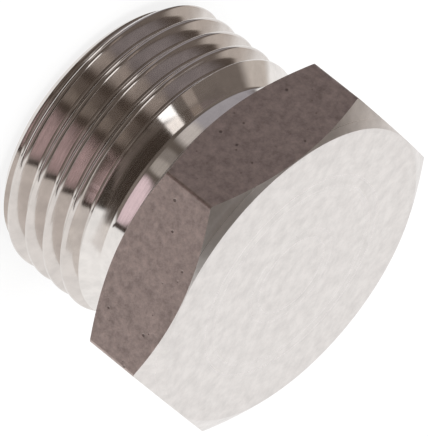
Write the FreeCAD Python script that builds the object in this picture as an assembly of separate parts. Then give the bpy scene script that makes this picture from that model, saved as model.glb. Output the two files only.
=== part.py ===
import FreeCAD, Part
import math
import os

# Hex head pipe plug, one piece turned from stainless hexagon bar.
# All sizes are in millimetres. The axis is Z, the thread end is down at
# Z = 0 and the head is up. One corner of the hexagon lies on +X.

# Hexagon head
across_flats = 18.9
head_height = 5.0
head_chamfer_angle = 30.0
head_chamfer_inset = 0.05
bar_edge_radius = 0.25

# Shank, from the thread end to the underside of the head
shank_length = 9.4
end_chamfer = 1.0
groove_depth = 1.051   # from the outside diameter of the thread to the floor
groove_width = 3.1
groove_wall_angle = 45.0
underhead_radius = 0.4

# Parallel pipe thread G 3/8, right hand
thread_diameter = 16.662
thread_pitch = 1.337
thread_angle = 55.0
thread_depth = 0.856
crest_width = 0.25
thread_start = 0.292   # height of the first groove centre on the +X side
thread_overrun = 0.4   # from the start of the groove wall to the thread's end
crest_segments = 8

# Worked-out sizes
total_height = shank_length + head_height
thread_radius = thread_diameter / 2
floor_radius = thread_radius - groove_depth
end_radius = thread_radius - end_chamfer
wall_start = shank_length - groove_width
wall_run = groove_depth * math.tan(math.radians(groove_wall_angle))
wall_end = wall_start + wall_run
z_axis = FreeCAD.Vector(0, 0, 1)
origin = FreeCAD.Vector(0, 0, 0)


def point(radius, height):
    return FreeCAD.Vector(radius, 0, height)


def polygon_face(points):
    return Part.Face(Part.makePolygon(points + [points[0]]))


# Head: hexagon bar with its six long edges eased
corner_radius = across_flats / math.sqrt(3)
corners = []
for i in range(6):
    angle = math.radians(60 * i)
    corners.append(FreeCAD.Vector(corner_radius * math.cos(angle),
                                  corner_radius * math.sin(angle),
                                  shank_length))
bar = polygon_face(corners).extrude(FreeCAD.Vector(0, 0, head_height))
long_edges = []
for edge in bar.Edges:
    if abs(edge.Length - head_height) < 1e-6 and abs(edge.tangentAt(edge.FirstParameter).z) > 0.99:
        long_edges.append(edge)
bar = bar.makeFillet(bar_edge_radius, long_edges)

# Both faces of the head are turned back to a cone at the corners
circle_radius = across_flats / 2 - head_chamfer_inset
rim_radius = corner_radius + 1.0
rim_drop = (rim_radius - circle_radius) * math.tan(math.radians(head_chamfer_angle))
turned_outline = polygon_face([
    point(0, shank_length),
    point(circle_radius, shank_length),
    point(rim_radius, shank_length + rim_drop),
    point(rim_radius, total_height - rim_drop),
    point(circle_radius, total_height),
    point(0, total_height),
])
head = bar.common(turned_outline.revolve(origin, z_axis, 360))

# Core of the shank with the floor of the relief groove. A small radius
# leads the floor into the underside of the head.
arc_start = point(floor_radius, shank_length - underhead_radius)
arc_end = point(floor_radius + underhead_radius, shank_length)
arc_drop = underhead_radius * (1 - math.cos(math.radians(45)))
arc_middle = point(floor_radius + arc_drop, shank_length - arc_drop)
core_wire = Part.Wire([
    Part.makeLine(point(0, 0), point(end_radius, 0)),
    Part.makeLine(point(end_radius, 0), point(floor_radius, wall_end)),
    Part.makeLine(point(floor_radius, wall_end), arc_start),
    Part.Arc(arc_start, arc_middle, arc_end).toShape(),
    Part.makeLine(arc_end, point(floor_radius + underhead_radius, shank_length + 1.0)),
    Part.makeLine(point(floor_radius + underhead_radius, shank_length + 1.0),
                  point(0, shank_length + 1.0)),
    Part.makeLine(point(0, shank_length + 1.0), point(0, 0)),
])
core = Part.Face(core_wire).revolve(origin, z_axis, 360)

# Stock for the thread round the core: end chamfer, outside diameter and
# the sloping wall of the relief groove. It is turned in equal segments,
# which divide the crest of the thread into short strips.
stock_profile = polygon_face([
    point(end_radius, 0),
    point(thread_radius, end_chamfer),
    point(thread_radius, wall_start),
    point(floor_radius, wall_end),
])
segment_angle = 360.0 / crest_segments
segments = []
for i in range(crest_segments):
    segment = stock_profile.revolve(origin, z_axis, segment_angle)
    segment.rotate(origin, z_axis, i * segment_angle)
    segments.append(segment)
blank = core.multiFuse(segments + [head])

# Thread groove: a truncated V swept along the helix from below the end
# face to the wall of the relief groove, one edge of the helix for each turn
flank_slope = math.tan(math.radians(thread_angle / 2))
overshoot = 0.1
mouth = (thread_pitch - crest_width) / 2
mouth_out = mouth + overshoot * flank_slope
root = mouth - thread_depth * flank_slope
root_radius = thread_radius - thread_depth
groove_start = thread_start - thread_pitch
groove_end = wall_start + thread_overrun
helix = Part.makeLongHelix(thread_pitch, groove_end - groove_start, thread_radius, 0)
helix.translate(FreeCAD.Vector(0, 0, groove_start))
groove_profile = Part.makePolygon([
    point(root_radius, groove_start - root),
    point(thread_radius + overshoot, groove_start - mouth_out),
    point(thread_radius + overshoot, groove_start + mouth_out),
    point(root_radius, groove_start + root),
    point(root_radius, groove_start - root),
])
sweep = Part.BRepOffsetAPI.MakePipeShell(Part.Wire(helix.Edges))
sweep.setBiNormalMode(z_axis)
sweep.add(groove_profile)
sweep.build()
sweep.makeSolid()
thread_groove = sweep.shape()
plug = blank.cut(thread_groove)
if plug.ShapeType == "Compound":
    plug = plug.Solids[0]

os.makedirs("parts", exist_ok=True)
plug.exportStep("parts/plug_body.step")
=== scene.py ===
import math

import bpy
from mathutils import Euler, Matrix, Vector


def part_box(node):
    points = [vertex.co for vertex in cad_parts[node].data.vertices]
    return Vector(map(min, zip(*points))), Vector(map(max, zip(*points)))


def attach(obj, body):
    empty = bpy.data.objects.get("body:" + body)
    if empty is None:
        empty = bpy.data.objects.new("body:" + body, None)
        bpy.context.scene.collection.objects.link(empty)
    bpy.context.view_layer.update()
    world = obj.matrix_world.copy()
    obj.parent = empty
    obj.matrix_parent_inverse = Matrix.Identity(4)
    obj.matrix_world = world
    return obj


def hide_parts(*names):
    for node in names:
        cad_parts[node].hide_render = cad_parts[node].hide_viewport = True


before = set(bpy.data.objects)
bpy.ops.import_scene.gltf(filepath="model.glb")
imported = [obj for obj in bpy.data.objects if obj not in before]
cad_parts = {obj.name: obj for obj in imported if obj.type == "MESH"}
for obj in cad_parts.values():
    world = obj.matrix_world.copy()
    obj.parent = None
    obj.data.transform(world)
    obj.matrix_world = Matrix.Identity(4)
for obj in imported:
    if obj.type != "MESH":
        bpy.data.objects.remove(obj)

bl_info = {
    "name": "Hex head pipe plug",
    "version": (1, 0, 0),
    "blender": (4, 5, 0),
    "location": "3D View > Sidebar > Plug",
    "description": "Hexagon head plug with a parallel pipe thread, turned from stainless bar",
    "category": "Add Mesh",
}

CAD_NODE = "plug_body"
CAD_LOW, CAD_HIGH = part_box(CAD_NODE)
MM = 0.001
TURNED_STEPS = 288   # facets round each turned solid
THREAD_STEPS = 180   # facets in one turn of the thread
ROOT_STEPS = 5       # facets across half of the thread's rounded root
CREST_STEPS = 4      # facets across each rounded edge of the crest
FOOT_STEPS = 4       # facets across the radius at the foot of the groove's wall
UNDERHEAD_STEPS = 7  # facets across the radius under the head


# Sizes and colours that a user would change

def length(name, description, value_mm):
    return bpy.props.FloatProperty(
        name=name, description=description, default=value_mm * MM,
        min=0.0, precision=6, subtype="DISTANCE", unit="LENGTH")


def angle(name, description, degrees):
    return bpy.props.FloatProperty(
        name=name, description=description, default=math.radians(degrees),
        subtype="ANGLE", unit="ROTATION")


def colour(name, description, value):
    return bpy.props.StringProperty(name=name, description=description, default=value)


class PlugSizes(bpy.types.PropertyGroup):
    total_height: length("Total height", "From the thread end to the front face of the head",
                         (CAD_HIGH.z - CAD_LOW.z) / MM)
    across_flats: length("Across flats", "Wrench size of the hexagon",
                         (CAD_HIGH.y - CAD_LOW.y) / MM)
    head_height: length("Head height", "Height of the hexagon head", 5.0)
    bar_edge_radius: length("Bar edge radius", "Easing of the bar's six long edges", 0.25)
    head_chamfer: angle("Head chamfer", "Slope of the head's turned corners", 30.0)
    head_chamfer_inset: length("Chamfer inset", "From the flats to the circle on the face", 0.05)
    head_edge_break: length("Edge break", "Width of the broken edges of the head", 0.03)
    thread_diameter: length("Thread diameter", "Outside diameter of the thread", 16.662)
    thread_pitch: length("Thread pitch", "From crest to crest", 1.337)
    thread_depth: length("Thread depth", "From crest to root", 0.856)
    thread_angle: angle("Thread angle", "Angle between the two flanks", 55.0)
    crest_width: length("Crest width", "Width of the flat on the crest", 0.25)
    crest_round: length("Crest round", "Radius of the crest's two edges", 0.17)
    thread_start: length("Thread start", "Height of the first root on the +X side", 0.292)
    thread_overrun: length("Thread overrun", "From the start of the groove's wall to the thread's end",
                           0.4)
    thread_run_out: angle("Thread run-out", "Turn in which the thread rises to nothing", 30.0)
    end_chamfer: length("End chamfer", "Chamfer at the start of the thread", 1.0)
    groove_depth: length("Groove depth", "Depth of the relief groove under the crests", 1.051)
    groove_width: length("Groove width", "Width of the relief groove at the crests", 3.1)
    groove_wall: angle("Groove wall", "Slope of the groove's wall by the thread", 45.0)
    wall_foot_radius: length("Wall foot radius", "Radius between the wall and the groove's floor",
                             0.3)
    underhead_radius: length("Underhead radius", "Radius between the groove and the head", 0.4)


class PlugColours(bpy.types.PropertyGroup):
    turned: colour("Turned steel", "Colour of the finely turned neck", "#EAE5E1")
    threaded: colour("Threaded steel", "Colour of the cut thread", "#DAD3CE")
    faced: colour("Faced steel", "Colour of the front face and the head's chamfers", "#E9E4E1")
    drawn: colour("Drawn steel", "Colour of the bar's flats", "#BDADA7")
    floor: colour("Floor", "Colour of the floor", "#FFFFFF")


def linear(hex_colour, share=1.0):
    """Turns an sRGB hex colour to linear, times a share of its light."""
    parts = [int(hex_colour[i:i + 2], 16) / 255 for i in (1, 3, 5)]
    parts = [c / 12.92 if c <= 0.04045 else ((c + 0.055) / 1.055) ** 2.4 for c in parts]
    return [c * share for c in parts] + [1.0]


# Modelling steps

def deselect():
    if bpy.context.mode != "OBJECT":
        bpy.ops.object.mode_set(mode="OBJECT")
    bpy.ops.object.select_all(action="DESELECT")


def only(piece):
    deselect()
    piece.select_set(True)
    bpy.context.view_layer.objects.active = piece


def apply_all(piece):
    only(piece)
    for modifier in list(piece.modifiers):
        bpy.ops.object.modifier_apply(modifier=modifier.name)


def settle(piece):
    """Puts the piece's place in its mesh, and its object at the origin."""
    only(piece)
    bpy.ops.object.transform_apply(location=True, rotation=True, scale=True)


def face_outwards(piece):
    only(piece)
    bpy.ops.object.mode_set(mode="EDIT")
    bpy.ops.mesh.select_all(action="SELECT")
    bpy.ops.mesh.normals_make_consistent(inside=False)
    bpy.ops.object.mode_set(mode="OBJECT")


def close_seams(piece):
    """Merges points that the solid operations left a hair apart, and drops empty faces."""
    same_point = 0.0008 * MM
    empty = 0.0005 * MM
    only(piece)
    bpy.ops.object.mode_set(mode="EDIT")
    bpy.ops.mesh.select_mode(type="VERT")
    bpy.ops.mesh.select_all(action="SELECT")
    bpy.ops.mesh.remove_doubles(threshold=same_point)
    bpy.ops.mesh.dissolve_degenerate(threshold=empty)
    bpy.ops.object.mode_set(mode="OBJECT")
    face_outwards(piece)


def select_faces(piece, test):
    """Selects the faces whose centre and normal pass the test."""
    only(piece)
    bpy.ops.object.mode_set(mode="EDIT")
    bpy.ops.mesh.select_mode(type="FACE")
    bpy.ops.mesh.select_all(action="DESELECT")
    bpy.ops.object.mode_set(mode="OBJECT")
    for face in piece.data.polygons:
        face.select = test(face.center, face.normal)
    bpy.ops.object.mode_set(mode="EDIT")


def turn_solid(name, stations):
    """A turned solid, raised ring by ring from a disc. A station is (radius, height)."""
    deselect()
    radius, height = stations[0]
    bpy.ops.mesh.primitive_circle_add(vertices=TURNED_STEPS, radius=radius,
                                      fill_type="NGON", location=(0, 0, height))
    piece = bpy.context.active_object
    piece.name = name
    bpy.ops.object.mode_set(mode="EDIT")
    bpy.ops.mesh.select_mode(type="FACE")
    bpy.ops.mesh.select_all(action="SELECT")
    for next_radius, next_height in stations[1:]:
        bpy.ops.mesh.extrude_region_move(
            TRANSFORM_OT_translate={"value": (0, 0, next_height - height)})
        grow = next_radius / radius
        bpy.ops.transform.resize(value=(grow, grow, 1), center_override=(0, 0, next_height))
        radius, height = next_radius, next_height
    bpy.ops.object.mode_set(mode="OBJECT")
    settle(piece)
    face_outwards(piece)
    return piece


def combine(piece, other, operation):
    """Adds, cuts or intersects one closed solid with another, which is used up."""
    only(piece)
    bpy.ops.object.modifier_add(type="BOOLEAN")
    modifier = piece.modifiers[-1]
    modifier.operation = operation
    modifier.solver = "EXACT"
    modifier.object = other
    bpy.ops.object.modifier_apply(modifier=modifier.name)
    bpy.data.objects.remove(other)


# Hexagon head

def hexagon_head(sizes):
    """Hexagon bar with eased edges, turned back to a cone at the corners on both sides."""
    shank = sizes.total_height - sizes.head_height
    corner_radius = sizes.across_flats / math.sqrt(3)
    rim_spare = 1.0 * MM
    deselect()
    bpy.ops.mesh.primitive_cylinder_add(
        vertices=6, radius=corner_radius, depth=sizes.head_height,
        location=(0, 0, shank + sizes.head_height / 2), rotation=(0, 0, math.radians(30)))
    head = bpy.context.active_object
    head.name = "head"
    settle(head)
    bpy.ops.object.mode_set(mode="EDIT")
    bpy.ops.mesh.select_mode(type="EDGE")
    bpy.ops.mesh.select_all(action="DESELECT")
    bpy.ops.object.mode_set(mode="OBJECT")
    for edge in head.data.edges:
        low, high = (head.data.vertices[i].co for i in edge.vertices)
        edge.select = abs(high.z - low.z) > sizes.head_height / 2
    bpy.ops.object.mode_set(mode="EDIT")
    bpy.ops.mesh.bevel(offset=sizes.bar_edge_radius * math.tan(math.radians(30)),
                       offset_type="OFFSET", segments=6, profile=0.5)
    bpy.ops.object.mode_set(mode="OBJECT")

    circle_radius = sizes.across_flats / 2 - sizes.head_chamfer_inset
    rim_radius = corner_radius + rim_spare
    drop = (rim_radius - circle_radius) * math.tan(sizes.head_chamfer)
    turned = turn_solid("turned_outline", [
        (circle_radius, shank),
        (rim_radius, shank + drop),
        (rim_radius, sizes.total_height - drop),
        (circle_radius, sizes.total_height),
    ])
    combine(head, turned, "INTERSECT")

    bpy.ops.object.modifier_add(type="BEVEL")
    edge_break = head.modifiers[-1]
    edge_break.width = sizes.head_edge_break
    edge_break.segments = 2
    edge_break.limit_method = "ANGLE"
    edge_break.angle_limit = math.radians(25)
    apply_all(head)
    return head


# Threaded shank

def thread_profile(sizes):
    """One pitch of the thread's outline from root to root, as (radius, height) points."""
    half_angle = sizes.thread_angle / 2
    slope = math.tan(half_angle)
    crest = sizes.thread_diameter / 2
    half_pitch = sizes.thread_pitch / 2
    half_root = half_pitch - sizes.crest_width / 2 - sizes.thread_depth * slope
    root_round = half_root * math.cos(half_angle) / (1 - math.sin(half_angle))
    turn = math.pi / 2 - half_angle

    points = []
    centre = crest - sizes.thread_depth + root_round
    for i in range(ROOT_STEPS + 1):
        a = turn * i / ROOT_STEPS
        points.append((centre - root_round * math.cos(a), root_round * math.sin(a)))
    reach = sizes.crest_round * math.tan(turn / 2)
    start = half_pitch - sizes.crest_width / 2 + reach
    for i in range(CREST_STEPS + 1):
        a = turn * (1 - i / CREST_STEPS)
        points.append((crest - sizes.crest_round * (1 - math.cos(a)),
                       start - sizes.crest_round * math.sin(a)))
    mirrored = [(radius, sizes.thread_pitch - height) for radius, height in reversed(points)]
    return points + mirrored


def run_out(rod, sizes):
    """Lifts the thread's groove out to the crests where the thread ends."""
    crest = sizes.thread_diameter / 2
    pitch = sizes.thread_pitch
    end = sizes.total_height - sizes.head_height - sizes.groove_width + sizes.thread_overrun
    rise = pitch * sizes.thread_run_out / math.radians(360)
    for vertex in rod.data.vertices:
        x, y, z = vertex.co
        radius = math.hypot(x, y)
        turns = math.atan2(y, x) / math.radians(360)
        groove = round((z - sizes.thread_start) / pitch - turns)
        groove_height = sizes.thread_start + pitch * (groove + turns)
        left = min(1.0, max(0.0, (end - groove_height) / rise))
        grow = (crest - (crest - radius) * left) / radius
        vertex.co = (x * grow, y * grow, z)


def threaded_rod(sizes, low, high, flange_radius):
    """A threaded rod from low to high with a wide flange above it, to intersect the shank with."""
    seam = 0.0002 * MM
    cut_tolerance = 0.00001 * MM
    turns = math.ceil((high - low) / sizes.thread_pitch) + 2
    start = sizes.thread_start
    while start + sizes.thread_pitch > low:
        start -= sizes.thread_pitch
    deselect()
    bpy.ops.mesh.primitive_plane_add(size=1.0 * MM, location=(0, 0, 0))
    rod = bpy.context.active_object
    rod.name = "threaded_rod"
    bpy.ops.object.mode_set(mode="EDIT")
    bpy.ops.mesh.select_mode(type="VERT")
    bpy.ops.mesh.select_all(action="SELECT")
    bpy.ops.mesh.merge(type="CENTER")
    points = thread_profile(sizes)
    bpy.ops.transform.translate(value=(points[0][0], 0, points[0][1] + start))
    for before, after in zip(points, points[1:]):
        step = (after[0] - before[0], 0, after[1] - before[1])
        bpy.ops.mesh.extrude_vertices_move(TRANSFORM_OT_translate={"value": step})
    bpy.ops.object.mode_set(mode="OBJECT")
    bpy.ops.object.modifier_add(type="SCREW")
    screw = rod.modifiers[-1]
    screw.axis = "Z"
    screw.angle = math.radians(360)
    screw.screw_offset = sizes.thread_pitch
    screw.iterations = turns
    screw.steps = THREAD_STEPS
    screw.render_steps = THREAD_STEPS
    apply_all(rod)

    bpy.ops.object.mode_set(mode="EDIT")
    bpy.ops.mesh.select_mode(type="VERT")
    bpy.ops.mesh.select_all(action="SELECT")
    bpy.ops.mesh.remove_doubles(threshold=seam)
    bpy.ops.object.mode_set(mode="OBJECT")
    run_out(rod, sizes)
    bpy.ops.object.mode_set(mode="EDIT")
    for height, upwards in ((low, -1), (high, 1)):
        bpy.ops.mesh.select_all(action="SELECT")
        bpy.ops.mesh.bisect(plane_co=(0, 0, height), plane_no=(0, 0, upwards),
                            use_fill=True, clear_outer=True, threshold=cut_tolerance)
    bpy.ops.object.mode_set(mode="OBJECT")
    face_outwards(rod)

    select_faces(rod, lambda centre, normal: centre.z > high - 0.01 * MM and normal.z > 0.99)
    grow = flange_radius / (sizes.thread_diameter / 2)
    bpy.ops.mesh.extrude_region_move(TRANSFORM_OT_translate={"value": (0, 0, 0)})
    bpy.ops.transform.resize(value=(grow, grow, 1), center_override=(0, 0, high))
    bpy.ops.mesh.extrude_region_move(
        TRANSFORM_OT_translate={"value": (0, 0, sizes.total_height - high)})
    bpy.ops.object.mode_set(mode="OBJECT")
    face_outwards(rod)
    return rod


def threaded_shank(sizes):
    """The turned shank, from the thread end to inside the head, with its thread."""
    shank = sizes.total_height - sizes.head_height
    thread_radius = sizes.thread_diameter / 2
    floor_radius = thread_radius - sizes.groove_depth
    wall_slope = math.tan(sizes.groove_wall)
    wall_start = shank - sizes.groove_width
    wall_end = wall_start + sizes.groove_depth * wall_slope
    spare = 0.4 * MM
    below_end = -1.0 * MM
    reach_into_head = 1.0 * MM
    underhead_turn = math.radians(80)
    stations = [
        (thread_radius - sizes.end_chamfer, 0.0),
        (thread_radius + spare, sizes.end_chamfer + spare),
        (thread_radius + spare, wall_start - spare * wall_slope),
    ]
    foot_turn = math.pi / 2 - sizes.groove_wall
    foot_end = wall_end + sizes.wall_foot_radius * math.tan(foot_turn / 2)
    for i in range(FOOT_STEPS + 1):
        a = foot_turn * (1 - i / FOOT_STEPS)
        stations.append((floor_radius + sizes.wall_foot_radius * (1 - math.cos(a)),
                         foot_end - sizes.wall_foot_radius * math.sin(a)))
    for i in range(UNDERHEAD_STEPS + 1):
        a = underhead_turn * i / UNDERHEAD_STEPS
        stations.append((floor_radius + sizes.underhead_radius * (1 - math.cos(a)),
                         shank - sizes.underhead_radius * (1 - math.sin(a))))
    stations.append((stations[-1][0], shank + reach_into_head))
    piece = turn_solid("shank", stations)
    rod = threaded_rod(sizes, below_end, wall_end + spare, sizes.across_flats)
    combine(piece, rod, "INTERSECT")
    return piece


# Materials

# Places of a Mix node's factor, its two colours and its colour result
MIX_FACTOR, MIX_FIRST, MIX_SECOND, MIX_RESULT = 0, 6, 7, 2


def add_node(tree, kind, settings=None, values=None):
    """Adds a node, sets its properties, and sets or links its inputs by name or number."""
    node = tree.nodes.new(kind)
    for key, value in (settings or {}).items():
        setattr(node, key, value)
    for key, value in (values or {}).items():
        socket = node.inputs[key]
        if isinstance(value, bpy.types.NodeSocket):
            tree.links.new(value, socket)
        else:
            socket.default_value = value
    return node


def new_material(name):
    material = bpy.data.materials.new(name)
    material.use_nodes = True
    material.node_tree.nodes.clear()
    return material, material.node_tree


def finish_material(tree, values):
    shader = add_node(tree, "ShaderNodeBsdfPrincipled", {}, {"Metallic": 1.0, **values})
    add_node(tree, "ShaderNodeOutputMaterial", {}, {"Surface": shader.outputs["BSDF"]})


def tool_rings(tree, place, spacing):
    """Noise that changes only with the distance from the axis and along it: the rings
    that a turning tool leaves on cylinders, cones and faces alike."""
    split = add_node(tree, "ShaderNodeSeparateXYZ", {}, {"Vector": place})
    flat = add_node(tree, "ShaderNodeCombineXYZ", {},
                    {"X": split.outputs["X"], "Y": split.outputs["Y"]})
    radius = add_node(tree, "ShaderNodeVectorMath", {"operation": "LENGTH"},
                      {0: flat.outputs[0]})
    line = add_node(tree, "ShaderNodeCombineXYZ", {},
                    {"X": radius.outputs["Value"], "Z": split.outputs["Z"]})
    noise = add_node(tree, "ShaderNodeTexNoise", {},
                     {"Vector": line.outputs[0], "Scale": 1 / spacing, "Detail": 3.0})
    return noise.outputs["Fac"]


def turned_steel(name, hex_colour, smooth, rough):
    """Stainless steel, finely turned: bright, with reflections crisp round the axis and
    drawn out along it, because the tool marks run round the plug. The real marks are too
    fine to show, so they are drawn coarser."""
    ring_spacing = 0.09 * MM
    ring_height = 0.0004 * MM
    smudge_size = 0.9 * MM
    smudged = 0.88
    material, tree = new_material(name)
    place = add_node(tree, "ShaderNodeTexCoord").outputs["Object"]
    rings = tool_rings(tree, place, ring_spacing)
    smudge = add_node(tree, "ShaderNodeTexNoise", {},
                      {"Vector": place, "Scale": 1 / smudge_size, "Detail": 6.0,
                       "Roughness": 0.6})
    clean = add_node(tree, "ShaderNodeMapRange", {},
                     {"Value": smudge.outputs["Fac"], "From Min": 0.35, "From Max": 0.65})
    tone = add_node(tree, "ShaderNodeMix", {"data_type": "RGBA"},
                    {MIX_FACTOR: clean.outputs[0], MIX_FIRST: linear(hex_colour, smudged),
                     MIX_SECOND: linear(hex_colour)})
    polish = add_node(tree, "ShaderNodeMapRange", {},
                      {"Value": rings, "From Min": 0.3, "From Max": 0.7, "To Min": smooth,
                       "To Max": rough})
    ridges = add_node(tree, "ShaderNodeBump", {},
                      {"Height": rings, "Distance": ring_height, "Strength": 1.0})
    around = add_node(tree, "ShaderNodeVectorMath", {"operation": "CROSS_PRODUCT"},
                      {0: (0.0, 0.0, 1.0), 1: place})
    finish_material(tree, {
        "Base Color": tone.outputs[MIX_RESULT],
        "Roughness": polish.outputs[0],
        "Anisotropic": 0.8,
        "Anisotropic Rotation": 0.25,
        "Tangent": around.outputs[0],
        "Normal": ridges.outputs[0],
    })
    return material


def faced_steel(colours):
    """Stainless steel, faced on the lathe: pale and satin, with faint rings round the axis
    and a fine mottle."""
    ring_spacing = 0.25 * MM
    ring_height = 0.004 * MM
    mottle_size = 0.8 * MM
    mottle_height = 0.012 * MM
    mottled = 0.86
    material, tree = new_material("stainless_steel_faced")
    place = add_node(tree, "ShaderNodeTexCoord").outputs["Object"]
    rings = tool_rings(tree, place, ring_spacing)
    mottle = add_node(tree, "ShaderNodeTexNoise", {},
                      {"Vector": place, "Scale": 1 / mottle_size, "Detail": 8.0,
                       "Roughness": 0.65})
    clean = add_node(tree, "ShaderNodeMapRange", {},
                     {"Value": mottle.outputs["Fac"], "From Min": 0.35, "From Max": 0.62})
    tone = add_node(tree, "ShaderNodeMix", {"data_type": "RGBA"},
                    {MIX_FACTOR: clean.outputs[0], MIX_FIRST: linear(colours.faced, mottled),
                     MIX_SECOND: linear(colours.faced)})
    satin = add_node(tree, "ShaderNodeMapRange", {},
                     {"Value": rings, "From Min": 0.3, "From Max": 0.7, "To Min": 0.26,
                      "To Max": 0.36})
    ridges = add_node(tree, "ShaderNodeBump", {},
                      {"Height": rings, "Distance": ring_height, "Strength": 1.0})
    dimples = add_node(tree, "ShaderNodeBump", {},
                       {"Height": mottle.outputs["Fac"], "Distance": mottle_height,
                        "Strength": 1.0, "Normal": ridges.outputs[0]})
    finish_material(tree, {
        "Base Color": tone.outputs[MIX_RESULT],
        "Roughness": satin.outputs[0],
        "Normal": dimples.outputs[0],
    })
    return material


def drawn_steel(colours):
    """Stainless steel, cold drawn: dull warm grey, with a coarse grain and small dark pits
    spread unevenly."""
    grain_size = 0.55 * MM
    grain_height = 0.02 * MM
    dark_grain, light_grain = 0.70, 1.14
    pit_spacing = 0.75 * MM
    pit_depth = 0.02 * MM
    pit_tone = 0.45
    material, tree = new_material("stainless_steel_drawn")
    place = add_node(tree, "ShaderNodeTexCoord").outputs["Object"]
    grain = add_node(tree, "ShaderNodeTexNoise", {},
                     {"Vector": place, "Scale": 1 / grain_size, "Detail": 9.0,
                      "Roughness": 0.78})
    light = add_node(tree, "ShaderNodeMapRange", {},
                     {"Value": grain.outputs["Fac"], "From Min": 0.36, "From Max": 0.64})
    tone = add_node(tree, "ShaderNodeMix", {"data_type": "RGBA"},
                    {MIX_FACTOR: light.outputs[0],
                     MIX_FIRST: linear(colours.drawn, dark_grain),
                     MIX_SECOND: linear(colours.drawn, light_grain)})

    # Only the cells with a high random number hold a pit, and a higher one makes it larger
    cells = add_node(tree, "ShaderNodeTexVoronoi", {"feature": "F1"},
                     {"Vector": place, "Scale": 1 / pit_spacing, "Randomness": 1.0})
    size = add_node(tree, "ShaderNodeSeparateColor", {}, {"Color": cells.outputs["Color"]})
    reach = add_node(tree, "ShaderNodeMapRange", {},
                     {"Value": size.outputs[0], "From Min": 0.6, "From Max": 1.0,
                      "To Min": 0.0, "To Max": 0.10})
    past_rim = add_node(tree, "ShaderNodeMath", {"operation": "SUBTRACT"},
                        {0: cells.outputs["Distance"], 1: reach.outputs[0]})
    pit = add_node(tree, "ShaderNodeMapRange", {},
                   {"Value": past_rim.outputs[0], "From Min": 0.0, "From Max": 0.07,
                    "To Min": 1.0, "To Max": 0.0})
    pitted = add_node(tree, "ShaderNodeMix", {"data_type": "RGBA"},
                      {MIX_FACTOR: pit.outputs[0], MIX_FIRST: tone.outputs[MIX_RESULT],
                       MIX_SECOND: linear(colours.drawn, pit_tone)})
    dull = add_node(tree, "ShaderNodeMapRange", {},
                    {"Value": grain.outputs["Fac"], "From Min": 0.3, "From Max": 0.7,
                     "To Min": 0.46, "To Max": 0.36})
    bumps = add_node(tree, "ShaderNodeBump", {},
                     {"Height": grain.outputs["Fac"], "Distance": grain_height,
                      "Strength": 1.0})
    dents = add_node(tree, "ShaderNodeBump", {"invert": True},
                     {"Height": pit.outputs[0], "Distance": pit_depth, "Strength": 1.0,
                      "Normal": bumps.outputs[0]})
    finish_material(tree, {
        "Base Color": pitted.outputs[MIX_RESULT],
        "Roughness": dull.outputs[0],
        "Normal": dents.outputs[0],
    })
    return material


# Operators

class PLUG_OT_body(bpy.types.Operator):
    """Model the plug, one piece turned from hexagon bar, and give it its finishes"""
    bl_idname = "plug.body"
    bl_label = "Plug body"

    def execute(self, context):
        sizes = context.scene.plug_sizes
        colours = context.scene.plug_colours
        head = hexagon_head(sizes)
        shank = threaded_shank(sizes)
        combine(shank, head, "UNION")
        plug = shank
        plug.name = "finished_plug_body"
        plug.data.name = plug.name
        close_seams(plug)

        for material in (
                turned_steel("stainless_steel_turned", colours.turned, 0.07, 0.13),
                turned_steel("stainless_steel_threaded", colours.threaded, 0.08, 0.15),
                faced_steel(colours), drawn_steel(colours)):
            plug.data.materials.append(material)
        turned, threaded, faced, drawn = range(4)
        head_start = sizes.total_height - sizes.head_height
        wall_start = head_start - sizes.groove_width
        for face in plug.data.polygons:
            on_head = face.center.z > head_start + 0.02 * MM
            if on_head and abs(face.normal.z) < 0.2:
                face.material_index = drawn
            elif on_head:
                face.material_index = faced
            elif 0.01 * MM < face.center.z < wall_start:
                face.material_index = threaded
            else:
                face.material_index = turned

        only(plug)
        bpy.ops.object.shade_smooth_by_angle(angle=math.radians(28))
        bpy.ops.object.modifier_add(type="WEIGHTED_NORMAL")
        weighting = plug.modifiers[-1]
        weighting.keep_sharp = True
        weighting.weight = 50
        apply_all(plug)

        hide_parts(CAD_NODE)
        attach(plug, "root")
        return {"FINISHED"}


# Cards of the studio, as seen from the plug: azimuth and elevation of the middle, half
# the width and half the height (all in degrees), softness of the edge as a share of the
# size, and colour. A later card covers an earlier one.
CARDS = (
    ("ceiling, left", -40, 30, 40, 32, 0.30, "#786F69"),
    ("ceiling, right", 102, 20, 34, 34, 0.30, "#857C76"),
    ("grey wall", -22, -22, 42, 12, 0.25, "#A6A3A8"),
    ("low grey wall", -36, -46, 27, 10, 0.25, "#857C7C"),
    ("white table", 180, 6, 64.7, 64.7, 0.035, "#FFFFFF"),
    ("white table end", -142, -55, 46, 46, 0.035, "#FFFFFF"),
    ("beige backdrop", -84, 17, 26, 22, 0.20, "#CBC3BC"),
    ("white backdrop", -95, -14, 30, 30, 0.12, "#FFFFFF"),
    ("white sweep", -126, 24, 34, 34, 0.14, "#FFFFFF"),
    ("dark ceiling", 81, 60, 27, 14, 0.06, "#3C352F"),
    ("dark floor", 72, -58, 28, 16, 0.12, "#463E38"),
    ("dark below", 52, -80, 6, 6, 0.30, "#463E38"),
    ("rose reflector", 95, -24, 22, 5.5, 0.12, "#F0D9E0"),
    ("dark gap", 121, -24, 2.2, 30, 0.30, "#463C38"),
    ("grey card", 48, -25, 6, 6, 0.35, "#8C8580"),
    ("pale grey card", 59, -25, 6.5, 6, 0.30, "#AFA8A2"),
    ("light card", 21, -24, 10, 7, 0.45, "#CFC9C5"),
    ("low card", -27, -69, 11, 11, 0.30, "#E4DEDA"),
)
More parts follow.
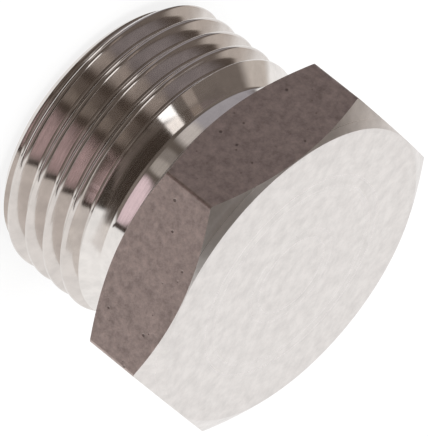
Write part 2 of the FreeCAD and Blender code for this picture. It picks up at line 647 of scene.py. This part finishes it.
# Strip lights, which run over the plug from low on one side to high on the other, so
# that turned surfaces of one azimuth show them: that azimuth in degrees, the light's
# offset from the plane through the axis there, half its width, the start and end of the
# stretch in which it is lit, all as parts of 1, colour and strength.
STRIPS = (
    ("window frame", 31.0, -0.447, 0.055, 0.15, 0.70, "#A0958D", 1.0),
    ("window", 42.5, -0.282, 0.079, 0.08, 0.62, "#FFFFFF", 1.5),
)
BASE_LIGHT = "#655D57"


def add_floor(scene):
    """A pale floor, which the camera sees nearly white and with the plug's shadow."""
    camera_glow = 0.85
    deselect()
    bpy.ops.mesh.primitive_plane_add(size=4.0, location=(0, 0, 0))
    floor = bpy.context.active_object
    floor.name = "floor"
    floor.visible_glossy = False
    floor.visible_shadow = False
    material, tree = new_material("pale_floor")
    path = add_node(tree, "ShaderNodeLightPath")
    diffuse = add_node(tree, "ShaderNodeBsdfDiffuse", {},
                       {"Color": linear(scene.plug_colours.floor)})
    glow = add_node(tree, "ShaderNodeEmission", {}, {"Color": (1, 1, 1, 1), "Strength": 1.0})
    share = add_node(tree, "ShaderNodeMath", {"operation": "MULTIPLY"},
                     {0: path.outputs["Is Camera Ray"], 1: camera_glow})
    mix = add_node(tree, "ShaderNodeMixShader", {},
                   {0: share.outputs[0], 1: diffuse.outputs[0], 2: glow.outputs[0]})
    add_node(tree, "ShaderNodeOutputMaterial", {}, {"Surface": mix.outputs[0]})
    floor.data.materials.append(material)


def card_cover(tree, direction, azimuth, elevation, width, height, soft):
    """How far a card covers each direction, from 0 to 1."""
    turn = (math.radians(90 - elevation), 0, math.radians(azimuth + 90))
    no_depth = 1000.0
    size = (math.sin(math.radians(width)), math.sin(math.radians(height)), no_depth)
    seen_from = add_node(tree, "ShaderNodeMapping", {"vector_type": "TEXTURE"},
                         {"Vector": direction, "Rotation": turn, "Scale": size})
    off_centre = add_node(tree, "ShaderNodeVectorMath", {"operation": "LENGTH"},
                          {0: seen_from.outputs[0]})
    inside = add_node(tree, "ShaderNodeMapRange", {"interpolation_type": "SMOOTHSTEP"},
                      {"Value": off_centre.outputs["Value"], "From Min": 1 + soft,
                       "From Max": 1 - soft, "To Min": 0.0, "To Max": 1.0})
    middle = Euler(turn).to_matrix() @ Vector((0, 0, 1))
    facing = add_node(tree, "ShaderNodeVectorMath", {"operation": "DOT_PRODUCT"},
                      {0: direction, 1: middle})
    ahead = add_node(tree, "ShaderNodeMath", {"operation": "GREATER_THAN"},
                     {0: facing.outputs["Value"], 1: 0.0})
    cover = add_node(tree, "ShaderNodeMath", {"operation": "MULTIPLY"},
                     {0: inside.outputs[0], 1: ahead.outputs[0]})
    return cover.outputs[0]


def strip_cover(tree, direction, azimuth, offset, half_width, start, end):
    """How far a strip light covers each direction, from 0 to 1."""
    fade = 0.04
    turn = math.radians(azimuth)
    along = add_node(tree, "ShaderNodeVectorMath", {"operation": "DOT_PRODUCT"},
                     {0: direction, 1: (math.cos(turn), math.sin(turn), 0)})
    across = add_node(tree, "ShaderNodeVectorMath", {"operation": "DOT_PRODUCT"},
                      {0: direction, 1: (-math.sin(turn), math.cos(turn), 0)})
    shifted = add_node(tree, "ShaderNodeMath", {"operation": "SUBTRACT"},
                       {0: across.outputs["Value"], 1: offset})
    from_middle = add_node(tree, "ShaderNodeMath", {"operation": "ABSOLUTE"},
                           {0: shifted.outputs[0]})
    inside = add_node(tree, "ShaderNodeMapRange", {},
                      {"Value": from_middle.outputs[0], "From Min": half_width * 1.1,
                       "From Max": half_width * 0.9, "To Min": 0.0, "To Max": 1.0})
    after_start = add_node(tree, "ShaderNodeMapRange", {},
                           {"Value": along.outputs["Value"], "From Min": start - fade,
                            "From Max": start + fade})
    before_end = add_node(tree, "ShaderNodeMapRange", {},
                          {"Value": along.outputs["Value"], "From Min": end + fade,
                           "From Max": end - fade})
    lit = add_node(tree, "ShaderNodeMath", {"operation": "MULTIPLY"},
                   {0: after_start.outputs[0], 1: before_end.outputs[0]})
    cover = add_node(tree, "ShaderNodeMath", {"operation": "MULTIPLY"},
                     {0: lit.outputs[0], 1: inside.outputs[0]})
    return cover.outputs[0]


def studio_world(scene):
    """The studio round the plug: a dim base light, the cards and the strips over it, and
    plain white where the camera looks straight at it."""
    world = bpy.data.worlds.new("studio")
    scene.world = world
    world.use_nodes = True
    tree = world.node_tree
    tree.nodes.clear()
    direction = add_node(tree, "ShaderNodeTexCoord").outputs["Generated"]
    light = linear(BASE_LIGHT)
    for _, azimuth, elevation, width, height, soft, shade in CARDS:
        cover = card_cover(tree, direction, azimuth, elevation, width, height, soft)
        light = add_node(tree, "ShaderNodeMix", {"data_type": "RGBA"},
                         {MIX_FACTOR: cover, MIX_FIRST: light,
                          MIX_SECOND: linear(shade)}).outputs[MIX_RESULT]
    for _, azimuth, offset, half_width, start, end, shade, strength in STRIPS:
        cover = strip_cover(tree, direction, azimuth, offset, half_width, start, end)
        light = add_node(tree, "ShaderNodeMix", {"data_type": "RGBA"},
                         {MIX_FACTOR: cover, MIX_FIRST: light,
                          MIX_SECOND: linear(shade, strength)}).outputs[MIX_RESULT]
    path = add_node(tree, "ShaderNodeLightPath")
    seen = add_node(tree, "ShaderNodeMix", {"data_type": "RGBA"},
                    {MIX_FACTOR: path.outputs["Is Camera Ray"], MIX_FIRST: light,
                     MIX_SECOND: (1, 1, 1, 1)})
    background = add_node(tree, "ShaderNodeBackground", {},
                          {"Color": seen.outputs[MIX_RESULT], "Strength": 1.0})
    add_node(tree, "ShaderNodeOutputWorld", {}, {"Surface": background.outputs[0]})


def overhead_lamp(scene):
    lamp = bpy.data.lights.new("overhead_softbox", "AREA")
    lamp.shape = "DISK"
    lamp.size = 0.5
    lamp.energy = 5.0
    overhead = bpy.data.objects.new("overhead_softbox", lamp)
    overhead.location = (0.1, 0.05, 0.6)
    overhead.rotation_euler = (-overhead.location).to_track_quat("-Z", "Y").to_euler()
    overhead.visible_glossy = False
    scene.collection.objects.link(overhead)


def photo_camera(scene):
    """The camera stands on the photo's line of sight, rolled as the photo is."""
    place = Vector((0.25468, 0.45375, 0.26357))
    right = Vector((0.376935, -0.605506, 0.700915))
    down = Vector((-0.815139, 0.142500, 0.561465))
    forward = Vector((-0.439851, -0.782979, -0.439858))
    turned = Matrix((right, -down, -forward)).transposed()
    camera = bpy.data.objects.new("camera", bpy.data.cameras.new("camera"))
    camera.data.sensor_width = 36.0
    camera.data.lens = 896.5
    camera.data.clip_start = 0.01
    camera.data.clip_end = 10.0
    camera.matrix_world = Matrix.Translation(place) @ turned.to_4x4()
    scene.collection.objects.link(camera)
    scene.camera = camera


class PLUG_OT_stage(bpy.types.Operator):
    """Set up the pale floor, the studio light and the camera"""
    bl_idname = "plug.stage"
    bl_label = "Stage"

    def execute(self, context):
        scene = context.scene
        scene.view_settings.view_transform = "Standard"
        add_floor(scene)
        studio_world(scene)
        overhead_lamp(scene)
        photo_camera(scene)
        return {"FINISHED"}


class PLUG_PT_panel(bpy.types.Panel):
    bl_idname = "PLUG_PT_panel"
    bl_label = "Hex head pipe plug"
    bl_space_type = "VIEW_3D"
    bl_region_type = "UI"
    bl_category = "Plug"

    def draw(self, context):
        layout = self.layout
        for group in (context.scene.plug_sizes, context.scene.plug_colours):
            column = layout.column()
            for name in group.__annotations__:
                column.prop(group, name)
        layout.operator("plug.body")
        layout.operator("plug.stage")


CLASSES = (PlugSizes, PlugColours, PLUG_OT_body, PLUG_OT_stage, PLUG_PT_panel)


def register():
    for cls in CLASSES:
        bpy.utils.register_class(cls)
    bpy.types.Scene.plug_sizes = bpy.props.PointerProperty(type=PlugSizes)
    bpy.types.Scene.plug_colours = bpy.props.PointerProperty(type=PlugColours)


def unregister():
    del bpy.types.Scene.plug_colours
    del bpy.types.Scene.plug_sizes
    for cls in reversed(CLASSES):
        bpy.utils.unregister_class(cls)


def main():
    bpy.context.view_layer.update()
    register()
    bpy.ops.plug.body()
    bpy.ops.plug.stage()
    bpy.context.view_layer.update()


if __name__ == "__main__":
    main()
